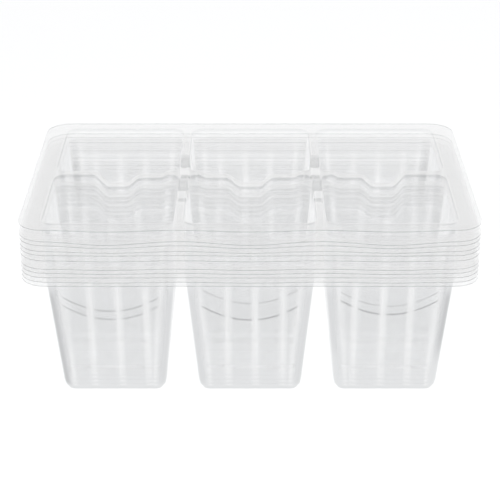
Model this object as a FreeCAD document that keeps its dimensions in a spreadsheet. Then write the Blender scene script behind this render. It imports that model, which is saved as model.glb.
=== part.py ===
"""A nested stack of clear six-cell trays. Every tray is one thin formed sheet: a flat deck with two rows
of three tapered cells, a low ridge with saddles between the rows, and a stepped notch on each side of both
posts.

All sizes are in millimetres and stand once, in the sheet. The origin is under the middle of the stack, +X
runs along the rows and +Z is up."""

import FreeCAD, Part
import os

TRAYS = 11
COLUMNS = (-1, 0, 1)
ROWS = (-1, 1)

SIZES = {
    "cell_length": 48.7,  # mouth of a cell along the rows, inside, at the deck
    "cell_width": 46.6,
    "cell_depth": 52.1,  # from the deck's top to the underside of the cells
    "column_divider": 3.5,  # deck left between two cells of a row
    "row_ridge": 4.6,  # deck left between the two rows
    "flange_ends": 8.45,  # deck left beyond the cells at both ends of the rows
    "flange_sides": 6.6,  # deck left beyond the cells in front and behind
    "draft_angle": 5.4,  # lean of every cell wall, degrees
    "wall": 0.12,  # sheet thickness after forming, in the cell walls
    "deck_sheet": 0.3,  # sheet thickness in the deck, the troughs and the floors
    "corner_cut": 2.6,  # leg of the flat across each upright corner of a cell
    "floor_cut": 3.2,  # leg of the flat round each cell's floor
    "flange_cut": 5.6,  # leg of the flat across each corner of the flange
    "ridge_drop": 1.3,  # how far the ridge lies below the deck between the posts
    "post_length": 13.4,  # deck left at full height where ridge and divider cross
    "saddle_length": 18.6,  # dip in the ridge at the middle of each cell, at its top
    "saddle_floor": 7.0,
    "saddle_depth": 3.7,  # below the dropped ridge
    "notch_start": 6.1,  # stepped notch in each divider, from the ridge's centre line
    "notch_finish": 17.9,
    "notch_depth": 4.2,
    "trough_lean": 0.3,  # run of a trough's end for each millimetre of its depth
    "over": 1.0,  # how far a cutting shape passes the surface that it cuts
    "nest_clearance": 0.035,  # between the walls of two trays pressed right home
    "rise_01": 0.0,  # how much higher each tray sits than pressed right home, from the bottom up
    "rise_02": 0.2,
    "rise_03": 0.15,
    "rise_04": 0.0,
    "rise_05": 1.75,
    "rise_06": 0.45,
    "rise_07": 0.0,
    "rise_08": 0.65,
    "rise_09": 0.0,
    "rise_10": 2.85,
}

# Lengths worked out from the sheet, as expression text.
SLOPE = "tan(Sizes.draft_angle * 1 deg)"
WALL_ACROSS = "(Sizes.wall / cos(Sizes.draft_angle * 1 deg))"
COLUMN_PITCH = "(Sizes.cell_length + Sizes.column_divider)"
ROW_PITCH = "(Sizes.cell_width + Sizes.row_ridge)"
STEP_DEPTH = "(Sizes.ridge_drop + Sizes.saddle_depth)"
HALF_LENGTH = f"({COLUMN_PITCH} + Sizes.cell_length / 2 + Sizes.flange_ends)"
HALF_WIDTH = f"({ROW_PITCH} / 2 + Sizes.cell_width / 2 + Sizes.flange_sides)"
PRESSED_HOME = "((Sizes.wall + Sizes.nest_clearance) / sin(Sizes.draft_angle * 1 deg))"

doc = FreeCAD.newDocument("TrayStack")


def write_sheet():
    sheet = doc.addObject("Spreadsheet::Sheet", "Sizes")
    for row, (name, value) in enumerate(SIZES.items(), start=1):
        sheet.set(f"A{row}", name)
        sheet.set(f"B{row}", str(value))
        sheet.setAlias(f"B{row}", name)
    doc.recompute()


def bound(obj, **expressions):
    """Binds each named property of an object to an expression on the sheet."""
    for name, expression in expressions.items():
        obj.setExpression(name, expression)
    return obj


def tapered(name, low, high, bottom, top, across_bottom, across_top, middle):
    """A frustum between the heights low and high. bottom and top are its (first, last) edges along X, and
    across_bottom and across_top those along Y, all as expressions measured from middle, an (x, y) pair."""
    solid = doc.addObject("Part::Wedge", name)
    solid.Placement = FreeCAD.Placement(
        FreeCAD.Vector(0, 0, 0), FreeCAD.Rotation(FreeCAD.Vector(1, 0, 0), 90)
    )
    # The wedge tapers along its own Y, which the turn stands upright. Its own Z then points along -Y.
    edges = {"Ymin": low, "Ymax": high, "Xmin": bottom[0], "Xmax": bottom[1]}
    edges |= {"X2min": top[0], "X2max": top[1]}
    edges |= {"Zmin": f"-({across_bottom[1]})", "Zmax": f"-({across_bottom[0]})"}
    edges |= {"Z2min": f"-({across_top[1]})", "Z2max": f"-({across_top[0]})"}
    bound(solid, **edges)
    solid.setExpression("Placement.Base.x", middle[0])
    solid.setExpression("Placement.Base.y", middle[1])
    return solid


def both_sides(half):
    return f"-({half})", half


def chamfered(name, base, edges_wanted, leg):
    """Cuts a flat of the sheet's size leg across those edges of base that edges_wanted picks."""
    doc.recompute()
    size = getattr(doc.Sizes, leg)
    cut = doc.addObject("Part::Chamfer", name)
    cut.Base = base
    numbers = [n for n, edge in enumerate(base.Shape.Edges, start=1) if edges_wanted(base.Shape, edge)]
    cut.Edges = [(n, size, size) for n in numbers]
    return cut


def is_upright(shape, edge):
    first, last = (vertex.Point for vertex in edge.Vertexes)
    return abs(last.z - first.z) > 0.5 * shape.BoundBox.ZLength


def is_in_floor(shape, edge):
    return all(abs(vertex.Z - shape.BoundBox.ZMin) < 1e-6 for vertex in edge.Vertexes)


def cell_shape(name, column, row, low, high, grown):
    """One cell as a solid from height low to high, with its walls moved out by grown from the mouth's size."""
    length_at = f"Sizes.cell_length / 2 + {grown} - {SLOPE} * (Sizes.cell_depth - ({{}}))"
    width_at = f"Sizes.cell_width / 2 + {grown} - {SLOPE} * (Sizes.cell_depth - ({{}}))"
    frustum = tapered(
        f"{name}_frustum",
        low,
        high,
        both_sides(length_at.format(low)),
        both_sides(length_at.format(high)),
        both_sides(width_at.format(low)),
        both_sides(width_at.format(high)),
        (f"{column} * {COLUMN_PITCH}", f"{row} * {ROW_PITCH} / 2"),
    )
    corners_cut = chamfered(f"{name}_corners", frustum, is_upright, "corner_cut")
    return chamfered(name, corners_cut, is_in_floor, "floor_cut")


def trough(name, depth, half_floor, half_top, half_across, middle, lies_along_x):
    """A dip in the deck as two solids: the sheet's underside, and the room above the sheet that is cut away.
    The dip's ends lean, and it crosses the ridge or divider from one cell to the next."""
    lean = f"({half_top} - {half_floor}) / ({depth})"
    floor = f"Sizes.cell_depth - {depth}"
    across = both_sides(half_across)

    def between(part, low, high, half_low, half_high):
        ends = both_sides(f"({half_low})"), both_sides(f"({half_high})")
        x_edges, y_edges = (ends, (across, across)) if lies_along_x else ((across, across), ends)
        return tapered(f"{name}_{part}", low, high, *x_edges, *y_edges, middle)

    under = between(
        "under",
        f"{floor} - Sizes.deck_sheet",
        "Sizes.cell_depth",
        f"{half_floor} + {WALL_ACROSS}",
        f"{half_top} + {WALL_ACROSS}",
    )
    room = between(
        "room", floor, "Sizes.cell_depth + Sizes.over", half_floor, f"{half_top} + {lean} * Sizes.over"
    )
    return under, room


def ridge_troughs():
    """The dropped stretches of the ridge and the saddle at the middle of each column's cells."""
    half_across = f"Sizes.row_ridge / 2 + {SLOPE} * {STEP_DEPTH} + Sizes.over / 2"
    half_room = f"({COLUMN_PITCH} - Sizes.post_length) / 2"
    pairs = []
    for column in COLUMNS:
        centre = f"{column} * {COLUMN_PITCH}"
        pairs.append(
            trough(
                f"saddle_{column + 2}",
                STEP_DEPTH,
                "Sizes.saddle_floor / 2",
                "Sizes.saddle_length / 2",
                half_across,
                (centre, "0"),
                True,
            )
        )
        # In an end column the ridge stays at full height from the saddle out to the flange.
        inward = half_room if column == 0 else f"({half_room} / 2)"
        middle = centre if column == 0 else f"{centre} - {column} * {half_room} / 2"
        floor = f"({inward} - Sizes.trough_lean * Sizes.ridge_drop)"
        name = f"ridge_{column + 2}"
        pairs.append(trough(name, "Sizes.ridge_drop", floor, inward, half_across, (middle, "0"), True))
    return pairs


def divider_notches():
    """The stepped notch in front of and behind each post."""
    half_across = f"Sizes.column_divider / 2 + {SLOPE} * Sizes.notch_depth + Sizes.over / 2"
    half_top = "(Sizes.notch_finish - Sizes.notch_start) / 2"
    floor = f"({half_top} - Sizes.trough_lean * Sizes.notch_depth)"
    pairs = []
    for side in (-1, 1):
        for row in ROWS:
            middle = f"{side} * {COLUMN_PITCH} / 2", f"{row} * (Sizes.notch_start + Sizes.notch_finish) / 2"
            name = f"notch_{side + 2}_{row + 2}"
            pairs.append(trough(name, "Sizes.notch_depth", floor, half_top, half_across, middle, False))
    return pairs


def deck_plate():
    long_edges, short_edges = both_sides(HALF_LENGTH), both_sides(HALF_WIDTH)
    low, high = "Sizes.cell_depth - Sizes.deck_sheet", "Sizes.cell_depth"
    plate = tapered(
        "deck_blank", low, high, long_edges, long_edges, short_edges, short_edges, ("0", "0")
    )
    return chamfered("deck", plate, is_upright, "flange_cut")


def joined(name, shapes):
    fuse = doc.addObject("Part::MultiFuse", name)
    fuse.Shapes = shapes
    return fuse


def tray_form():
    """One tray: everything below the sheet's top face, less the room inside the cells and troughs."""
    cells, rooms = [], []
    for column in COLUMNS:
        for row in ROWS:
            name = f"cell_{column + 2}_{row + 2}"
            cells.append(cell_shape(f"{name}_outside", column, row, "0", "Sizes.cell_depth", WALL_ACROSS))
            rooms.append(
                cell_shape(
                    f"{name}_room",
                    column,
                    row,
                    "Sizes.deck_sheet",
                    "Sizes.cell_depth + Sizes.over",
                    "0",
                )
            )
    troughs = ridge_troughs() + divider_notches()
    body = joined("form_outside", [deck_plate(), *cells, *(under for under, _ in troughs)])
    hollow = joined("form_room", [*rooms, *(room for _, room in troughs)])
    form = doc.addObject("Part::Cut", "tray_form")
    form.Base, form.Tool = body, hollow
    return form


def nested_trays(form):
    """The stack: the same form once for each tray, raised clear of all the trays below it."""
    trays = []
    for number in range(1, TRAYS + 1):
        tray = doc.addObject("Part::Compound", f"tray_{number:02d}")
        tray.Links = [form]
        tray.Label = f"tray_{number:02d}"
        rises = [f"Sizes.rise_{below:02d}" for below in range(1, number)]
        tray.setExpression("Placement.Base.z", " + ".join([f"{number - 1} * {PRESSED_HOME}", *rises]))
        trays.append(tray)
    return trays


def check(trays):
    for obj in doc.Objects:
        if {"Invalid", "Error"} & set(obj.State):
            raise RuntimeError(f"{obj.Label} did not build: {obj.State}")
    for tray in trays:
        shape = tray.Shape
        if shape.isNull() or not shape.isValid() or len(shape.Solids) != 1:
            raise RuntimeError(f"{tray.Label} is not one valid solid")


write_sheet()
stack = nested_trays(tray_form())
doc.recompute()
check(stack)
os.makedirs("parts", exist_ok=True)
for tray in stack:
    tray.Shape.exportStep(f"parts/{tray.Label}.step")
    box = tray.Shape.BoundBox
    print(f"{tray.Label}: {box.XLength:.1f} x {box.YLength:.1f} mm, z {box.ZMin:.2f} to {box.ZMax:.2f}")
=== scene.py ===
"""Clear nested cell trays: each is one formed sheet with six fluted cells, a saddled ridge and two posts."""

import math

import bmesh
import bpy
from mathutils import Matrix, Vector


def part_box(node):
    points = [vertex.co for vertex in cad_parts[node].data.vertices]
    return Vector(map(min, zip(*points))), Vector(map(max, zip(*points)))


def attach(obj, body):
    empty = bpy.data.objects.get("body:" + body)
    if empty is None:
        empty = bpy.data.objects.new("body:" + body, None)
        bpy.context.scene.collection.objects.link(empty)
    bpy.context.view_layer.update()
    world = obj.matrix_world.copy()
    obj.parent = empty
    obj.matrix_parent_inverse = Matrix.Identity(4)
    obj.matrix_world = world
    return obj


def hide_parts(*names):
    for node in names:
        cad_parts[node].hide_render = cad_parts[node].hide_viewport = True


bl_info = {
    "name": "Nested Cell Trays",
    "version": (1, 0, 0),
    "blender": (4, 5, 0),
    "location": "View3D > Sidebar > Cell Trays",
    "description": "Builds a nested stack of clear formed trays and the stage that they stand on",
    "category": "Add Mesh",
}

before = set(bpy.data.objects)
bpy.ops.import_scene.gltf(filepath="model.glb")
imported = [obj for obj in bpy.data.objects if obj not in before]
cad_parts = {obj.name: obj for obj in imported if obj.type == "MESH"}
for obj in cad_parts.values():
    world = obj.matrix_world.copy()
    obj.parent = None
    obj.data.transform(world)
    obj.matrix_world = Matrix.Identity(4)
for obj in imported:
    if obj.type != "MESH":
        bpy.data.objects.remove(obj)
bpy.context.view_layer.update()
TRAY_NODES = sorted(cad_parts)
MM = 0.001
COLUMNS = (-1, 0, 1)
ROWS = (-1, 1)
TRAY_LOW, TRAY_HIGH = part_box(TRAY_NODES[0])
FINE = {"unit": "LENGTH", "subtype": "DISTANCE", "precision": 5}


class TraySizes(bpy.types.PropertyGroup):
    cell_length: bpy.props.FloatProperty(
        name="Cell length", description="Mouth of a cell along the rows", default=48.7 * MM, **FINE
    )
    cell_width: bpy.props.FloatProperty(
        name="Cell width", description="Mouth of a cell across the rows", default=46.6 * MM, **FINE
    )
    divider: bpy.props.FloatProperty(
        name="Divider", description="Deck between two cells of a row", default=3.5 * MM, **FINE
    )
    ridge: bpy.props.FloatProperty(
        name="Ridge", description="Deck between the two rows", default=4.6 * MM, **FINE
    )
    draft: bpy.props.FloatProperty(
        name="Draft", description="Lean of the cell walls", default=math.radians(5.4), subtype="ANGLE"
    )
    sheet: bpy.props.FloatProperty(
        name="Sheet", description="Thickness of the deck and floors", default=0.3 * MM, **FINE
    )
    wall: bpy.props.FloatProperty(
        name="Wall", description="Thickness of the drawn cell walls", default=0.12 * MM, **FINE
    )
    corner_radius: bpy.props.FloatProperty(
        name="Corner radius", description="Upright corners of a cell", default=4.4 * MM, **FINE
    )
    floor_radius: bpy.props.FloatProperty(
        name="Floor radius", description="Turn from wall to floor", default=5.0 * MM, **FINE
    )
    dome_radius: bpy.props.FloatProperty(
        name="Dome radius", description="Round dome in the middle of each floor", default=14.5 * MM, **FINE
    )
    dome_height: bpy.props.FloatProperty(
        name="Dome height", description="Rise of the floor's dome", default=0.9 * MM, **FINE
    )
    mouth_radius: bpy.props.FloatProperty(
        name="Mouth radius", description="Turn from deck to wall", default=0.8 * MM, **FINE
    )
    flange_radius: bpy.props.FloatProperty(
        name="Flange radius", description="Outer corners of the flange", default=9.5 * MM, **FINE
    )
    flute_pitch: bpy.props.FloatProperty(
        name="Flute pitch", description="Spacing of the upright flutes", default=10.5 * MM, **FINE
    )
    flute_width: bpy.props.FloatProperty(
        name="Flute width", description="Width of one flute", default=4.6 * MM, **FINE
    )
    # The corner line is a painted highlight beside each corner.
    corner_line: bpy.props.FloatProperty(
        name="Corner line",
        description="Width of the clear line beside each corner",
        default=2.8 * MM,
        **FINE,
    )
    flute_depth: bpy.props.FloatProperty(
        name="Flute depth", description="How far a flute stands in from the wall", default=0.45 * MM, **FINE
    )
    ridge_drop: bpy.props.FloatProperty(
        name="Ridge drop", description="Ridge below the deck between posts", default=1.3 * MM, **FINE
    )
    post_length: bpy.props.FloatProperty(
        name="Post", description="Full-height deck where ridge and divider cross", default=13.4 * MM, **FINE
    )
    saddle_length: bpy.props.FloatProperty(
        name="Saddle", description="Length of the dip at its top", default=18.6 * MM, **FINE
    )
    saddle_floor: bpy.props.FloatProperty(
        name="Saddle floor", description="Flat at the bottom of the dip", default=7.0 * MM, **FINE
    )
    saddle_depth: bpy.props.FloatProperty(
        name="Saddle depth", description="Dip below the dropped ridge", default=3.7 * MM, **FINE
    )
    notch_start: bpy.props.FloatProperty(
        name="Notch start", description="From the ridge's centre line", default=6.1 * MM, **FINE
    )
    notch_finish: bpy.props.FloatProperty(
        name="Notch finish", description="From the ridge's centre line", default=17.9 * MM, **FINE
    )
    notch_depth: bpy.props.FloatProperty(
        name="Notch depth", description="Step down of a divider", default=4.2 * MM, **FINE
    )


class StageSettings(bpy.types.PropertyGroup):
    floor_colour: bpy.props.FloatVectorProperty(
        name="Floor", description="Colour of the floor", subtype="COLOR", size=3, default=(0.93, 0.93, 0.93)
    )
    camera_distance: bpy.props.FloatProperty(
        name="Camera distance", description="From the aim point", default=0.635, unit="LENGTH"
    )
    camera_elevation: bpy.props.FloatProperty(
        name="Camera elevation", description="Above the horizon", default=math.radians(24.8), subtype="ANGLE"
    )
    camera_lens: bpy.props.FloatProperty(
        name="Lens", description="Focal length on a 36 mm frame", default=113.6, unit="CAMERA"
    )
    aim_height: bpy.props.FloatProperty(
        name="Aim height", description="Height of the aim point", default=0.041, unit="LENGTH"
    )


# ---------------------------------------------------------------- shape of one tray


def smooth_step(value):
    value = min(1.0, max(0.0, value))
    return value * value * (3.0 - 2.0 * value)


def dip_profile(distance, half_floor, half_top, depth):
    """Depth of a rounded dip at a distance from its middle."""
    return depth * smooth_step((half_top - abs(distance)) / (half_top - half_floor))


def column_pitch(sizes):
    return sizes.cell_length + sizes.divider


def row_pitch(sizes):
    return sizes.cell_width + sizes.ridge


def ridge_depth(sizes, x):
    """How far the ridge lies below the deck at x."""
    half_saddle, half_floor = sizes.saddle_length / 2, sizes.saddle_floor / 2
    column = min(COLUMNS, key=lambda c: abs(x - c * column_pitch(sizes)))
    from_middle = x - column * column_pitch(sizes)
    ease = 1.6 * MM
    half_step = (column_pitch(sizes) - sizes.post_length) / 2
    step = sizes.ridge_drop * smooth_step((half_step - abs(from_middle)) / ease)
    if column * from_middle > 0:
        # Outside the saddle of an end column the ridge stays level with the deck.
        step = 0.0
    dip = smooth_step((half_saddle - abs(from_middle)) / (half_saddle - half_floor))
    return max(step, 0.0) * (1 - dip) + (sizes.ridge_drop + sizes.saddle_depth) * dip


def notch_depth(sizes, y):
    """How far a divider lies below the deck at y."""
    middle = (sizes.notch_start + sizes.notch_finish) / 2
    half_top = (sizes.notch_finish - sizes.notch_start) / 2
    return dip_profile(abs(y) - middle, half_top - 1.7 * MM, half_top, sizes.notch_depth)


def deck_depth(sizes, x, y):
    """How far the formed deck lies below its own flat top at a point in plan."""
    reach = sizes.post_length / 2 + 0.5 * MM
    if abs(y) < reach:
        depth = ridge_depth(sizes, x)
    else:
        depth = 0.0
    divider = column_pitch(sizes) / 2
    if abs(abs(x) - divider) < reach:
        depth = max(depth, notch_depth(sizes, y))
    return depth


def flute_offset(sizes, along, shift):
    """How far a wall stands in at a distance along it from the cell's middle. Its middle flute
    is at shift."""
    along = along - shift
    nearest = min((-1, 0, 1), key=lambda n: abs(along - n * sizes.flute_pitch))
    away = abs(along - nearest * sizes.flute_pitch) / (sizes.flute_width / 2)
    return sizes.flute_depth * (0.5 + 0.5 * math.cos(math.pi * away)) if away < 1 else 0.0


# How far the flutes on the long walls stand off the cell's middle, by column.
FLUTE_SHIFTS = {-1: 2.7 * MM, 0: 2.0 * MM, 1: -2.2 * MM}
# Painted highlight on the deck and on the narrow ridge, and the share that the deck loses in a full notch.
DECK_BRIGHT = 0.52
RIDGE_BRIGHT = 0.9
NOTCH_DULL = 0.7
# The turn from deck to wall: step of three, painted highlight, painted shade facing the ridge and painted
# shade elsewhere.
LIP_STEPS = ((1, 1.0, 0.0, 0.0), (2, 0.2, 0.2, 0.15), (3, 0.0, 0.65, 0.55))
# The turn from wall to floor: step of four and painted shade.
FLOOR_STEPS = ((1, 0.0), (2, 0.15), (3, 0.25), (4, 0.0))
# The floor's dome: share of its radius, share of its height and painted shade.
DOME_STEPS = ((1.0, 0.0, 0.3), (0.96, 0.45, 0.3), (0.86, 0.75, 0.0), (0.5, 0.95, 0.0), (0.15, 1.0, 0.0))
# Rows of the wall below its lip, as shares of its height: two close ones, then even steps.
WALL_ROWS = 11
WALL_SHARES = [0.012, 0.04] + [step / WALL_ROWS for step in range(1, WALL_ROWS + 1)]
# The strip of painted shade at the top of the walls that face the ridge, and the share of the wall that it
# ends at.
STRIP_DARK = 0.22
STRIP_SHARE = 0.05
# How much painted shade darkens an upright corner on the outside of the tray and elsewhere.
OUTER_CORNER_SHADE = 0.4
INNER_CORNER_SHADE = 0.12
# A curved dark line across a front wall: its depth at the wall's middle by column, the
# distance along the wall over which it rises, and its rise there in mm.
CURVED_LINE_DEPTHS = {-1: 18.2 * MM, 0: 18.4 * MM, 1: 16.0 * MM}
CURVED_LINE_REACH = 19.0 * MM
CURVED_LINE_RISE = 6.8
# Depth of deck in which the lips and dips of the cells lie.
LIP_ZONE = 8.0 * MM
SIDE_STEPS = 32
CORNER_STEPS = 8
SIDE_SAMPLES = SIDE_STEPS + CORNER_STEPS
QUARTER = math.pi / 2
# Outward normals of a cell's sides, anticlockwise from +X, and the way each side runs.
SIDES = ((1, 0), (0, 1), (-1, 0), (0, -1))


def ring_samples():
    """The places round a cell's ring, as kind, side and share: on a straight or on the corner after it."""
    samples = []
    for side in range(4):
        samples += [("straight", side, 2 * step / SIDE_STEPS - 1) for step in range(SIDE_STEPS)]
        samples += [("corner", side, step / CORNER_STEPS) for step in range(CORNER_STEPS)]
    return samples


def cell_ring(half_x, half_y, radius, hold):
    """A rounded rectangle with its samples fixed along the middle of each side, up to hold from its centre.
    Gives each sample's place, outward normal, and distance along its side."""
    ring = []
    for kind, side, share in ring_samples():
        normal = Vector(SIDES[side])
        run = Vector((-normal.y, normal.x))
        reach = half_x if normal.x else half_y
        half_run = (half_y if normal.x else half_x) - radius
        if kind == "straight":
            full = hold[0 if normal.y else 1]
            along = share * full
            held = 0.7 * full
            if abs(along) > held:
                beyond = (abs(along) - held) / (full - held)
                along = math.copysign(held + beyond * (half_run - held), along)
            ring.append((normal * reach + run * along, normal, along))
        else:
            centre = normal * (reach - radius) + run * half_run
            outward = normal * math.cos(share * QUARTER) + run * math.sin(share * QUARTER)
            ring.append((centre + outward * radius, outward, None))
    return ring


def territory_ring(low, high, round_corners, radius, straights):
    """The outer ring of a cell's share of the deck, with the same samples as its mouth, straights.
    low and high are its corners from the cell's centre. round_corners says which are the flange's own."""
    ring = []
    for (kind, side, share), mouth in zip(ring_samples(), straights):
        normal = Vector(SIDES[side])
        run = Vector((-normal.y, normal.x))

        def limit(direction):
            if direction.x:
                return high.x if direction.x > 0 else -low.x
            return high.y if direction.y > 0 else -low.y

        reach, run_reach = limit(normal), limit(run)
        if kind == "straight":
            ring.append(normal * reach + run * mouth[0].dot(run))
            continue
        start = straights[side * SIDE_SAMPLES + SIDE_STEPS][0].dot(run)
        finish_start = straights[(side + 1) * SIDE_SAMPLES % len(straights)][0].dot(normal)
        if (side in round_corners) and share > 0:
            step = share * CORNER_STEPS
            angle = QUARTER * (step - 1) / (CORNER_STEPS - 2)
            centre = normal * (reach - radius) + run * (run_reach - radius)
            ring.append(centre + (normal * math.cos(angle) + run * math.sin(angle)) * radius)
        elif share <= 0.5:
            ring.append(normal * reach + run * (start + (run_reach - start) * share * 2))
        else:
            ring.append(run * run_reach + normal * (reach + (finish_start - reach) * (share * 2 - 1)))
    return ring


def cell_rings(sizes, column, row):
    """Every ring of one cell's share of the tray, from its deck's edge to the middle of its floor: places in
    the tray's frame, shares of the full thickness, painted light and shade, and places along the curved dark
    line."""
    centre = Vector((column * column_pitch(sizes), row * row_pitch(sizes) / 2))
    half = Vector((sizes.cell_length / 2, sizes.cell_width / 2))
    deck_top = TRAY_HIGH.z - TRAY_LOW.z
    slope = math.tan(sizes.draft)
    edge_x, edge_y = TRAY_HIGH.x, TRAY_HIGH.y
    low = Vector((-half.x - sizes.divider / 2, -half.y - sizes.ridge / 2))
    high = -low
    if column > 0:
        high.x = edge_x - centre.x
    if column < 0:
        low.x = -edge_x - centre.x
    if row > 0:
        high.y = edge_y - centre.y
    else:
        low.y = -edge_y - centre.y
    round_corners = set()
    for side in range(4):
        turn = Vector(SIDES[side]) + Vector(SIDES[(side + 1) % 4])
        if column and turn.x == column and turn.y == row:
            round_corners.add(side)
    hold = (half.x - sizes.corner_radius, half.y - sizes.corner_radius)
    mouth = cell_ring(half.x, half.y, sizes.corner_radius, hold)
    outer = territory_ring(low, high, round_corners, sizes.flange_radius, mouth)
    rings, weights, painted_lights, marks = [], [], [], []

    def add(points, weight, clear=0.0, bright=0.0, dark=0.0, mark=None):
        """One more ring: its places, its share of the full thickness, its painted highlight on flutes and
        corner lines, its painted highlight on lips and deck and its painted shade, each as one number or one
        for each place, and each place on the wall from the curved dark line."""
        count = len(points)
        rings.append(points)
        weights.append(weight)
        shares = [share if isinstance(share, list) else [share] * count for share in (clear, bright, dark)]
        painted_lights.append(list(zip(*shares)))
        marks.append(mark or [(0.0, 0.0, 0.0)] * count)

    def on_deck(plan):
        place = centre + plan
        return Vector((place.x, place.y, deck_top - deck_depth(sizes, place.x, place.y)))

    round_over = sizes.mouth_radius

    def mouth_place(index):
        """The top of the wall under one sample: its plan place, outward normal and dip."""
        plan, normal, _ = mouth[index]
        dip = deck_depth(sizes, *(centre + plan))
        return plan - normal * slope * dip, normal, dip

    lip = [mouth_place(index) for index in range(len(mouth))]
    for share in (0.0, 0.35, 0.7, 1.0):
        points, bright = [], []
        for edge, (spot, normal, _) in zip(outer, lip):
            place = on_deck(edge.lerp(spot + normal * round_over, share))
            points.append(place)
            # The narrow ridge gets a painted highlight all over, and a notch in a divider gets less of it
            # than the deck.
            between_rows = abs(place.y) < sizes.ridge / 2 + round_over
            on_ridge = between_rows and abs(place.x) < column_pitch(sizes) + half.x
            dip = min(1.0, (deck_top - place.z) / sizes.notch_depth)
            bright.append(RIDGE_BRIGHT if on_ridge else DECK_BRIGHT * (1 - NOTCH_DULL * dip))
        add(points, 1.0, bright=bright)
    faces_ridge = [row * normal.y < 0 for _, normal, _ in lip]
    # Painted highlight and painted shade on the turn from deck to wall.
    for step, bright, ridge_dark, outer_dark in LIP_STEPS:
        angle = step / 3 * (QUARTER - sizes.draft)
        points = []
        for plan, normal, dip in lip:
            place = centre + plan + normal * round_over * (1 - math.sin(angle))
            points.append(Vector((place.x, place.y, deck_top - dip - round_over * (1 - math.cos(angle)))))
        dark = [ridge_dark if near else outer_dark for near in faces_ridge]
        add(points, 1.0 - 0.4 * step / 3, bright=bright, dark=dark)
    wall_low = sizes.sheet + sizes.floor_radius * (1 - math.sin(sizes.draft))
    wall_share = sizes.wall / sizes.sheet
    corner_shading = corner_shade(column, row)
    for share in WALL_SHARES:
        points, clear, dark, mark = [], [], [], []
        for index, (_, _, dip) in enumerate(lip):
            high_z = deck_top - dip - round_over
            z = high_z + (wall_low - high_z) * share
            depth = deck_top - z
            ring = ring_at(sizes, half, hold, depth)
            plan, normal, along = ring[index]
            fade = smooth_step((depth - dip - 3.0 * MM) / (4.0 * MM))
            offset = 0.0
            if along is not None:
                shift = FLUTE_SHIFTS[column] if normal.y else 0.0
                offset = flute_offset(sizes, along, shift) * fade
            place = centre + plan - normal * offset
            points.append(Vector((place.x, place.y, z)))
            # Painted highlight where the wall stands in as a flute, and in a line beside each corner.
            line_fade = smooth_step((depth - dip - 1.0 * MM) / (2.0 * MM))
            clear.append(max(offset / sizes.flute_depth, corner_line(sizes, ring, index) * line_fade))
            # Painted shade: a strip at the top of the walls that face the ridge, and the upright corners.
            strip = STRIP_DARK if faces_ridge[index] and share < STRIP_SHARE else 0.0
            # On the last column the painted shade in the corner fades again towards the floor.
            fade_low = 1 - smooth_step((share - 0.55) / 0.3) if column > 0 else 1.0
            dark.append(corner_shading[index] * fade * fade_low + strip)
            on_front_wall = along is not None and row < 0 and normal.y < 0
            across = along / CURVED_LINE_REACH if on_front_wall else 1.0
            mark.append((across, (depth - CURVED_LINE_DEPTHS[column]) / MM, 1.0 if on_front_wall else 0.0))
        add(points, wall_share, clear, dark=dark, mark=mark)
    base = ring_at(sizes, half, hold, deck_top - wall_low)
    for step, dark in FLOOR_STEPS:
        angle = step / 4 * (QUARTER - sizes.draft)
        inward = sizes.floor_radius * (math.cos(sizes.draft) - math.cos(angle + sizes.draft))
        sink = sizes.floor_radius * (math.sin(angle + sizes.draft) - math.sin(sizes.draft))
        points = []
        for plan, normal, along in base:
            fluted = 0.0
            if along is not None:
                shift = FLUTE_SHIFTS[column] if normal.y else 0.0
                fluted = flute_offset(sizes, along, shift) * (1 - step / 4)
            place = centre + plan - normal * (inward + fluted)
            points.append(Vector((place.x, place.y, wall_low - sink)))
        add(points, wall_share + (1 - wall_share) * step / 4, dark=dark)
    flat = rings[-1]
    dome = sizes.dome_radius
    for reach, rise, dark in DOME_STEPS:
        points = []
        for place in flat:
            outward = (Vector(place.xy) - centre).normalized()
            plan = centre + outward * dome * reach
            points.append(Vector((plan.x, plan.y, place.z + sizes.dome_height * rise)))
        add(points, 1.0, dark=dark)
    return rings, weights, painted_lights, marks


def corner_line(sizes, ring, index):
    """The painted highlight line where a wall meets its corner, as a share that falls off to both sides."""
    _, side, share = ring_samples()[index]
    along = ring[index][2]
    if along is None:
        away = min(share, 1 - share) * QUARTER * sizes.corner_radius
    else:
        away = abs(ring[side * SIDE_SAMPLES][2]) - abs(along)
    return max(0.0, 1.0 - away / (sizes.corner_line / 2))


def corner_shade(column, row):
    """How much painted shade darkens each sample of a cell's ring. Only upright corners get it, most of all
    the tray's own.
    """
    shares = []
    for kind, side, share in ring_samples():
        turn = Vector(SIDES[side]) + Vector(SIDES[(side + 1) % 4])
        on_outside = column != 0 and turn.x == column and turn.y == row
        corner_shading = OUTER_CORNER_SHADE if on_outside else INNER_CORNER_SHADE
        shares.append(corner_shading * math.sin(math.pi * share) ** 2 if kind == "corner" else 0.0)
    return shares


RING_CACHE = {}


def ring_at(sizes, half, hold, depth):
    """The cell's ring at a depth below the deck, kept for the next sample that asks for it."""
    key = round(depth / MM, 4)
    if key not in RING_CACHE:
        inset = math.tan(sizes.draft) * depth
        RING_CACHE[key] = cell_ring(half.x - inset, half.y - inset, sizes.corner_radius, hold)
    return RING_CACHE[key]


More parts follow.
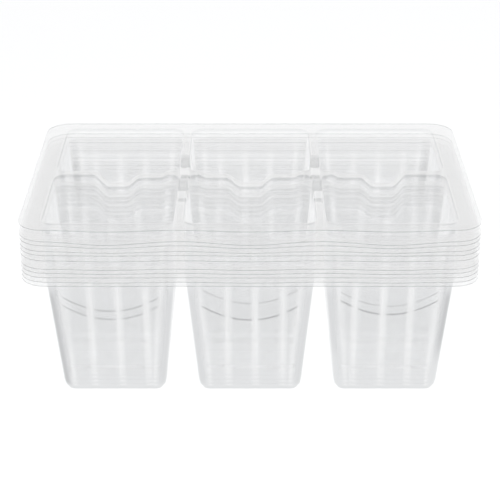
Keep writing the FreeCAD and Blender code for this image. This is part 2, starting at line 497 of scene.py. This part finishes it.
def loft_cell(bm, sizes, column, row, weight_layer, painted_light_layer, mark_layer):
    """Extrudes a ring of edges from the deck's edge down into the cell and closes it in mid-floor."""
    rings, weights, painted_lights, marks = cell_rings(sizes, column, row)
    count = len(rings[0])
    start = bmesh.ops.create_circle(bm, cap_ends=False, segments=count, radius=1.0)["verts"]
    ring = sorted(start, key=lambda v: v.index) if start[0].index >= 0 else start
    for vert, place, shares in zip(ring, rings[0], painted_lights[0]):
        vert.co = place
        vert[weight_layer][0] = weights[0]
        vert[painted_light_layer] = Vector(shares)
    edges = [edge for edge in bm.edges if edge.verts[0] in set(ring)]
    for points, weight, painted_light, mark in zip(rings[1:], weights[1:], painted_lights[1:], marks[1:]):
        made = bmesh.ops.extrude_edge_only(bm, edges=edges)["geom"]
        new_verts = {v for v in made if isinstance(v, bmesh.types.BMVert)}
        edges = [e for e in made if isinstance(e, bmesh.types.BMEdge) and set(e.verts) <= new_verts]
        following = []
        for vert in ring:
            neighbours = (edge.other_vert(vert) for edge in vert.link_edges)
            following.append(next(other for other in neighbours if other in new_verts))
        for vert, place, shares, spot in zip(following, points, painted_light, mark):
            vert.co = place
            vert[weight_layer][0] = weight
            vert[painted_light_layer] = Vector(shares)
            vert[mark_layer] = Vector(spot)
        ring = following
    bmesh.ops.contextual_create(bm, geom=edges)


def tray_form(sizes):
    """The sheet's upper face as one mesh, with each vertex's share of the full thickness."""
    bm = bmesh.new()
    thickness = bm.verts.layers.deform.verify()
    painted_light = bm.verts.layers.float_vector.new("painted_light")
    mark = bm.verts.layers.float_vector.new("curved_line")
    for column in COLUMNS:
        for row in ROWS:
            loft_cell(bm, sizes, column, row, thickness, painted_light, mark)
    bmesh.ops.remove_doubles(bm, verts=bm.verts, dist=0.01 * MM)
    bmesh.ops.recalc_face_normals(bm, faces=bm.faces)
    if sum(face.normal.z * face.calc_area() for face in bm.faces) < 0:
        bmesh.ops.reverse_faces(bm, faces=bm.faces)
    return bm


def sag(sizes, point, droop):
    """How far the front flange sags at a point: most in front of each cell, not at all at the dividers."""
    mouth_y = row_pitch(sizes) / 2 + sizes.cell_width / 2
    beyond = smooth_step((-point.y - mouth_y) / (TRAY_HIGH.y - mouth_y))
    wave = 0.5 + 0.5 * math.cos(2 * math.pi * point.x / column_pitch(sizes))
    return droop * beyond * wave


# Sag of each flange between its dividers in mm, from the lowest tray up.
DROOPS = (0.1, 0.4, 0.15, 0.55, 0.5, 0.45, 0.25, 0.75, 1.2, 1.5, 0.7)
# How strongly the curved dark line shows in the left, middle and right cells. Three trays stand out.
FAINT_MARKS = (0.12, 0.12, 0.12)
CURVED_LINE_TRAYS = {0: (0.8, 1.0, 1.0), 2: (1.0, 0.12, 0.8), 4: (0.12, 1.0, 0.12)}
# Nested lips touch the sheet above: their painted shade at the turns shows less than the open top tray's,
# and their painted highlight on the edges no more than the deck's.
NESTED_DARK = 0.45
NESTED_BRIGHT = 0.6
# The share of the cut edge that reflects; the rest lets light through.
EDGE_SHARE = 0.45


def build_tray(form, sizes, number, droop, materials):
    """One tray as a closed shell around its node's own place."""
    node = TRAY_NODES[number]
    low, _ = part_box(node)
    mesh = bpy.data.meshes.new(f"{node}_sheet")
    bm = form.copy()
    painted_light = bm.verts.layers.float_vector["painted_light"]
    mark = bm.verts.layers.float_vector["curved_line"]
    marks = CURVED_LINE_TRAYS.get(number, FAINT_MARKS)
    nested = number < len(TRAY_NODES) - 1
    lip_low = TRAY_HIGH.z - TRAY_LOW.z - LIP_ZONE
    for vert in bm.verts:
        column = min(2, max(0, round(vert.co.x / column_pitch(sizes)) + 1))
        vert[mark].z *= marks[column]
        # Nested trays keep weaker painted shade and painted highlight at their lips.
        if nested and vert.co.z > lip_low:
            vert[painted_light].y = min(vert[painted_light].y, NESTED_BRIGHT)
            vert[painted_light].z *= NESTED_DARK
        vert.co.z += low.z - sag(sizes, vert.co, droop)
    bm.to_mesh(mesh)
    bm.free()
    piece = bpy.data.objects.new(f"{node}_sheet", mesh)
    bpy.context.collection.objects.link(piece)
    group = piece.vertex_groups.new(name="thickness")
    solidify = piece.modifiers.new("Sheet", "SOLIDIFY")
    solidify.thickness = sizes.sheet
    solidify.offset = -1
    solidify.vertex_group = group.name
    solidify.material_offset = 1
    solidify.material_offset_rim = 2
    for material in materials:
        mesh.materials.append(material)
    evaluated = piece.evaluated_get(bpy.context.evaluated_depsgraph_get())
    finished = bpy.data.meshes.new_from_object(evaluated)
    piece.modifiers.clear()
    piece.data = finished
    finished.shade_smooth()
    finished.set_sharp_from_angle(angle=math.radians(50))
    for ray in ("diffuse", "glossy", "transmission", "shadow"):
        # Mirrored and shadow rays pass the thin sheets by, or each would go through hundreds of layers.
        setattr(piece, f"visible_{ray}", False)
    return piece


# ---------------------------------------------------------------- materials


class Socket:
    """Wraps a shader socket so that arithmetic on it adds Math nodes."""

    def __init__(self, tree, socket):
        self.tree, self.socket = tree, socket

    def maths(self, operation, *values):
        return add_node(self.tree, "ShaderNodeMath", {"operation": operation}, dict(enumerate(values)))

    def __add__(self, other):
        return self.maths("ADD", self, other)

    def __mul__(self, other):
        return self.maths("MULTIPLY", self, other)

    def __sub__(self, other):
        return self.maths("SUBTRACT", self, other)

    def __rsub__(self, other):
        return self.maths("SUBTRACT", other, self)

    def at_least(self, other):
        return self.maths("MAXIMUM", self, other)

    def at_most(self, other):
        return self.maths("MINIMUM", self, other)

    def size(self):
        return self.maths("ABSOLUTE", self)

    __radd__, __rmul__ = __add__, __mul__


def add_node(tree, kind, settings, inputs, output=0):
    """Adds one node, sets it up, feeds its sockets with values or links and returns one of its outputs."""
    node = tree.nodes.new(kind)
    for name, value in settings.items():
        setattr(node, name, value)
    for name, value in inputs.items():
        if isinstance(value, Socket):
            tree.links.new(value.socket, node.inputs[name])
        else:
            node.inputs[name].default_value = value
    return Socket(tree, node.outputs[output])


def new_material(name):
    material = bpy.data.materials.new(name)
    material.use_nodes = True
    material.node_tree.nodes.clear()
    return material, material.node_tree


def clear_sheet_material():
    """Upper face of clear formed plastic. Most light goes through, and a share that grows at a glancing
    angle is mirrored. The vertex attribute read here holds painted light: a painted highlight on the flutes
    and beside the corners, a painted highlight on the lips and deck, and painted shade at the turn into a
    wall or floor and in the upright corners."""
    material, tree = new_material("clear_sheet")
    places = add_node(tree, "ShaderNodeTexCoord", {}, {}, "Object")
    ripple = add_node(tree, "ShaderNodeTexNoise", {}, {"Vector": places, "Scale": 70.0, "Detail": 0.0})
    bump = add_node(tree, "ShaderNodeBump", {}, {"Height": ripple, "Strength": 0.08, "Distance": 0.0005})
    clear, bright, painted_shade = attribute_parts(tree, "painted_light")
    across, below, strength = attribute_parts(tree, "curved_line")
    # A curved dark line across each front wall, kept off the flute highlights; where it lies the sheet is
    # darker and mirrors more.
    curved_dark_line = (1 - (below + across * across * CURVED_LINE_RISE).size() * 1.4).at_least(0.0) * strength * (1 - clear)
    dark = (painted_shade + curved_dark_line).at_most(1.0)
    # Painted highlight on flutes and corner lines, a brighter painted highlight on lips and deck, then
    # painted shade and the curved dark line.
    wall = mix_colour(tree, clear, (0.735, 0.74, 0.745, 1), (0.89, 0.89, 0.89, 1))
    light = mix_colour(tree, bright, wall, (0.97, 0.97, 0.97, 1))
    tint = mix_colour(tree, dark, light, (0.22, 0.22, 0.23, 1))
    glancing = add_node(tree, "ShaderNodeLayerWeight", {}, {"Blend": 0.3}, "Fresnel")
    # Painted highlight, painted shade and the curved dark line also raise the mirrored share.
    mirrored = (glancing + 0.075 + bright * 0.38 + painted_shade * 0.12 + curved_dark_line * 0.55).at_most(1.0)
    gloss = add_node(
        tree,
        "ShaderNodeBsdfPrincipled",
        {},
        {"Base Color": tint, "Metallic": 1.0, "Roughness": ripple * 0.1 + 0.06, "Normal": bump},
    )
    through = add_node(tree, "ShaderNodeBsdfTransparent", {}, {"Color": (0.998, 0.998, 0.998, 1)})
    add_node_output(tree, add_node(tree, "ShaderNodeMixShader", {}, {0: mirrored, 1: through, 2: gloss}))
    return material


def attribute_parts(tree, name):
    """The three parts of a vector attribute."""
    vector = add_node(tree, "ShaderNodeAttribute", {"attribute_name": name}, {}, "Vector")
    return [add_node(tree, "ShaderNodeSeparateXYZ", {}, {"Vector": vector}, axis) for axis in "XYZ"]


def mix_colour(tree, share, first, second):
    """A mix of two colours, which may be values or sockets."""
    return add_node(tree, "ShaderNodeMix", {"data_type": "RGBA"}, {"Factor": share, 6: first, 7: second}, 2)


def sheet_underside_material():
    """The lower face adds nothing to what the upper face, a hair away, already mirrors."""
    material, tree = new_material("clear_sheet_underside")
    add_node_output(tree, add_node(tree, "ShaderNodeBsdfTransparent", {}, {"Color": (1, 1, 1, 1)}))
    return material


def cut_edge_material():
    """The cut edge of the flange, which sends the light sideways and so looks darker."""
    material, tree = new_material("cut_edge")
    gloss = add_node(
        tree,
        "ShaderNodeBsdfPrincipled",
        {},
        {"Base Color": (0.3, 0.31, 0.32, 1), "Metallic": 1.0, "Roughness": 0.3},
    )
    through = add_node(tree, "ShaderNodeBsdfTransparent", {}, {"Color": (0.97, 0.97, 0.97, 1)})
    add_node_output(tree, add_node(tree, "ShaderNodeMixShader", {}, {0: EDGE_SHARE, 1: through, 2: gloss}))
    return material


def add_node_output(tree, surface):
    output = tree.nodes.new("ShaderNodeOutputMaterial")
    tree.links.new(surface.socket, output.inputs["Surface"])


def floor_material(colour):
    material, tree = new_material("pale_floor")
    surface = add_node(tree, "ShaderNodeBsdfPrincipled", {}, {"Base Color": (*colour, 1), "Roughness": 0.9})
    add_node_output(tree, surface)
    return material


# ---------------------------------------------------------------- operators


class BuildTrays(bpy.types.Operator):
    """Build the nested trays"""

    bl_idname = "cell_trays.build_trays"
    bl_label = "Nested trays"

    def execute(self, context):
        sizes = context.scene.tray_sizes
        materials = (clear_sheet_material(), sheet_underside_material(), cut_edge_material())
        form = tray_form(sizes)
        for number, (node, droop) in enumerate(zip(TRAY_NODES, DROOPS)):
            piece = build_tray(form, sizes, number, droop * MM, materials)
            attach(piece, node)
            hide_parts(node)
        form.free()
        return {"FINISHED"}


def area_light(name, place, aim, size, power):
    light = bpy.data.lights.new(name, "AREA")
    light.shape = "RECTANGLE"
    light.size, light.size_y = size
    light.energy = power
    lamp = bpy.data.objects.new(name, light)
    lamp.location = place
    lamp.rotation_euler = (Vector(aim) - Vector(place)).to_track_quat("-Z", "Y").to_euler()
    # The sheet mirrors the room alone, so that no sagging flange catches a lamp as a white patch.
    lamp.visible_glossy = False
    bpy.context.collection.objects.link(lamp)


class BuildStage(bpy.types.Operator):
    """Add the floor, lights, surroundings and camera"""

    bl_idname = "cell_trays.build_stage"
    bl_label = "Stage"

    def execute(self, context):
        settings = context.scene.tray_stage
        bm = bmesh.new()
        bmesh.ops.create_grid(bm, x_segments=1, y_segments=1, size=6.0)
        mesh = bpy.data.meshes.new("floor")
        bm.to_mesh(mesh)
        bm.free()
        floor = bpy.data.objects.new("floor", mesh)
        floor.location.z = -0.0002
        mesh.materials.append(floor_material(settings.floor_colour))
        context.collection.objects.link(floor)
        area_light("key", (-0.9, -0.7, 1.1), (0, 0, 0.04), (0.6, 0.9), 7.6)
        area_light("fill", (1.1, -0.5, 0.8), (0, 0, 0.04), (0.6, 0.9), 6.2)
        area_light("back", (0, 1.2, 1.2), (0, 0, 0.04), (1.6, 0.6), 6.2)
        self.add_world(context)
        self.add_camera(context, settings)
        return {"FINISHED"}

    def add_world(self, context):
        world = bpy.data.worlds.new("soft_room")
        world.use_nodes = True
        tree = world.node_tree
        tree.nodes.clear()
        rays = add_node(tree, "ShaderNodeLightPath", {}, {}, "Is Camera Ray")
        ways = add_node(tree, "ShaderNodeTexCoord", {}, {}, "Generated")
        depth = add_node(tree, "ShaderNodeSeparateXYZ", {}, {"Vector": ways}, "Y")
        room = mix_colour(tree, depth * 0.6 + 0.45, (0.4, 0.41, 0.42, 1), (0.93, 0.93, 0.93, 1))
        # The camera sees a white room; the sheets mirror a grey one that is lighter behind the trays.
        seen = mix_colour(tree, rays, room, (1, 1, 1, 1))
        light = add_node(tree, "ShaderNodeBackground", {}, {"Color": seen, "Strength": 1.0})
        output = tree.nodes.new("ShaderNodeOutputWorld")
        tree.links.new(light.socket, output.inputs["Surface"])
        context.scene.world = world

    def add_camera(self, context, settings):
        camera = bpy.data.cameras.new("camera")
        camera.lens = settings.camera_lens
        camera.sensor_width = 36.0
        camera.clip_start = 0.01
        holder = bpy.data.objects.new("camera", camera)
        rise = settings.camera_elevation
        holder.location = (
            0.0,
            -settings.camera_distance * math.cos(rise),
            settings.aim_height + settings.camera_distance * math.sin(rise),
        )
        holder.rotation_euler = (math.pi / 2 - rise, 0.0, 0.0)
        context.collection.objects.link(holder)
        context.scene.camera = holder
        context.scene.view_settings.view_transform = "Standard"
        context.scene.cycles.transparent_max_bounces = 256
        context.scene.cycles.max_bounces = 3
        context.scene.cycles.use_denoising = True


class TrayPanel(bpy.types.Panel):
    """Lists the trays' sizes and the steps that build them"""

    bl_idname = "VIEW3D_PT_cell_trays"
    bl_label = "Cell Trays"
    bl_space_type = "VIEW_3D"
    bl_region_type = "UI"
    bl_category = "Cell Trays"

    def draw(self, context):
        for group in (context.scene.tray_sizes, context.scene.tray_stage):
            for name in group.bl_rna.properties.keys():
                if name not in {"rna_type", "name"}:
                    self.layout.prop(group, name)
        for operator in (BuildTrays, BuildStage):
            self.layout.operator(operator.bl_idname)


CLASSES = (TraySizes, StageSettings, BuildTrays, BuildStage, TrayPanel)


def register():
    for item in CLASSES:
        bpy.utils.register_class(item)
    bpy.types.Scene.tray_sizes = bpy.props.PointerProperty(type=TraySizes)
    bpy.types.Scene.tray_stage = bpy.props.PointerProperty(type=StageSettings)


def unregister():
    del bpy.types.Scene.tray_stage
    del bpy.types.Scene.tray_sizes
    for item in reversed(CLASSES):
        bpy.utils.unregister_class(item)


def main():
    register()
    bpy.ops.cell_trays.build_stage()
    bpy.ops.cell_trays.build_trays()


if __name__ == "__main__":
    main()
